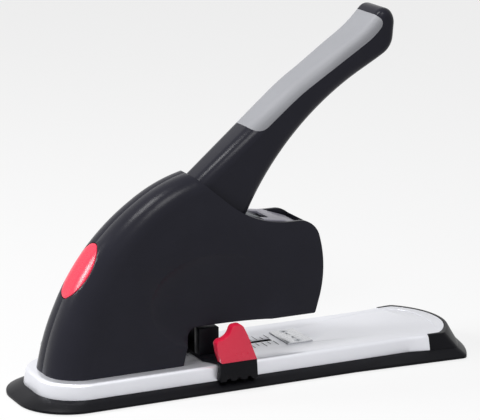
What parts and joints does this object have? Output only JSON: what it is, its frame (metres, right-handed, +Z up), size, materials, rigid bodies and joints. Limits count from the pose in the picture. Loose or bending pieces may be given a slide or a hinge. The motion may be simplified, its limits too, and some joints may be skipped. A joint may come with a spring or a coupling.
{
  "type": "heavy-duty stapler",
  "caption": "Long-lever heavy-duty stapler on a flat base: press handle, coming-down staple magazine with a front drawer, release button, anvil and sliding paper guide.",
  "frame": {"origin": "centre of the base's footprint on the table", "axes": "+X along the base towards the end where the paper goes in, +Z up, the guide's tab on the -Y side"},
  "size_m": [0.298, 0.0886, 0.2205],
  "materials": {
    "black_plastic": "matt moulded black",
    "satin_black_plastic": "satin moulded black",
    "grey_grip": "soft grey inlay, faint light edge",
    "rubber": "dull",
    "red_plastic": "semi-gloss red",
    "silver_cover": "satin silver",
    "lavender_cover": "satin light grey",
    "zinc_steel": "plated",
    "bright_steel": "ground bright",
    "spring_steel": "drawn wire"
  },
  "bodies": {
    "stand": {"base_skirt": "black_plastic", "rubber_feet": "rubber", "base_screws": "zinc_steel", "base_plate": "zinc_steel", "base_cover": "silver_cover", "front_end_cap": "black_plastic", "anvil_block": "zinc_steel", "anvil_plate": "bright_steel", "anvil_screws": "zinc_steel", "head_shell_near": "satin_black_plastic", "head_shell_far": "satin_black_plastic", "head_screws": "zinc_steel", "frame_plate_near": "zinc_steel", "frame_plate_far": "zinc_steel", "frame_screws": "zinc_steel", "frame_spacers": "zinc_steel", "handle_axle": "bright_steel", "spring_pins": "bright_steel", "latch_pin": "bright_steel", "button_bracket": "zinc_steel", "saddle_cover": "lavender_cover"},
    "depth_guide": {"guide_slider": "black_plastic", "guide_stops": "black_plastic", "guide_runner": "black_plastic", "guide_tab": "red_plastic"},
    "handle": {"handle_grip": "grey_grip", "handle_upper_shell": "satin_black_plastic", "handle_lower_shell": "satin_black_plastic", "handle_screws": "zinc_steel", "lever_plate_far": "zinc_steel", "lever_plate_near": "zinc_steel", "lever_roller": "bright_steel", "lever_pins": "bright_steel", "lever_spacers": "zinc_steel", "return_spring": "spring_steel"},
    "driver": {"driver_ram": "bright_steel", "driver_pins": "bright_steel", "driver_blade": "bright_steel", "blade_clamp_plate": "zinc_steel", "blade_screws": "zinc_steel"},
    "magazine": {"magazine_channel": "zinc_steel", "magazine_pins": "bright_steel", "magazine_springs": "spring_steel"},
    "drawer": {"staple_drawer": "zinc_steel", "pusher_rod": "bright_steel", "drawer_face": "black_plastic", "pusher_spring": "spring_steel"},
    "pusher": {"staple_pusher": "black_plastic"},
    "button": {"release_button": "red_plastic", "button_spring": "spring_steel"},
    "latch": {"latch_lever": "zinc_steel"}
  },
  "joints": [
    {"name": "handle_press", "type": "hinge", "parent": "stand", "child": "handle", "pos_m": [-0.0212, 0, 0.107], "axis": [0, 1, 0], "range_deg": [0, 32], "deforming": ["return_spring"]},
    {"name": "driver_slide", "type": "slide", "parent": "stand", "child": "driver", "axis": [0, 0, -1], "range_m": [0, 0.029]},
    {"name": "magazine_drop", "type": "slide", "parent": "stand", "child": "magazine", "axis": [0, 0, -1], "range_m": [0, 0.017], "deforming": ["magazine_springs"]},
    {"name": "drawer_slide", "type": "slide", "parent": "magazine", "child": "drawer", "axis": [1, 0, 0], "range_m": [0, 0.114]},
    {"name": "pusher_slide", "type": "slide", "parent": "drawer", "child": "pusher", "axis": [-1, 0, 0], "range_m": [0, 0.06], "stiffness_N_per_m": 40, "springref_m": -0.01, "deforming": ["pusher_spring"]},
    {"name": "button_press", "type": "slide", "parent": "stand", "child": "button", "axis": [0.7848, 0, -0.6198], "range_m": [0, 0.003], "stiffness_N_per_m": 400, "springref_m": -0.001, "deforming": ["button_spring"]},
    {"name": "latch_turn", "type": "hinge", "parent": "stand", "child": "latch", "pos_m": [-0.07881, 0, 0.06717], "axis": [0, -1, 0], "range_deg": [0, 22.4]},
    {"name": "guide_slide", "type": "slide", "parent": "stand", "child": "depth_guide", "axis": [1, 0, 0], "range_m": [-0.002, 0.042]}
  ],
  "couplings": [
    {"joint": "driver_slide", "follows": "handle_press", "m_per_rad": 0.051924},
    {"joint": "magazine_drop", "follows": "handle_press", "m_per_rad": 0.030439},
    {"joint": "latch_turn", "follows": "button_press", "rad_per_m": 130}
  ]
}
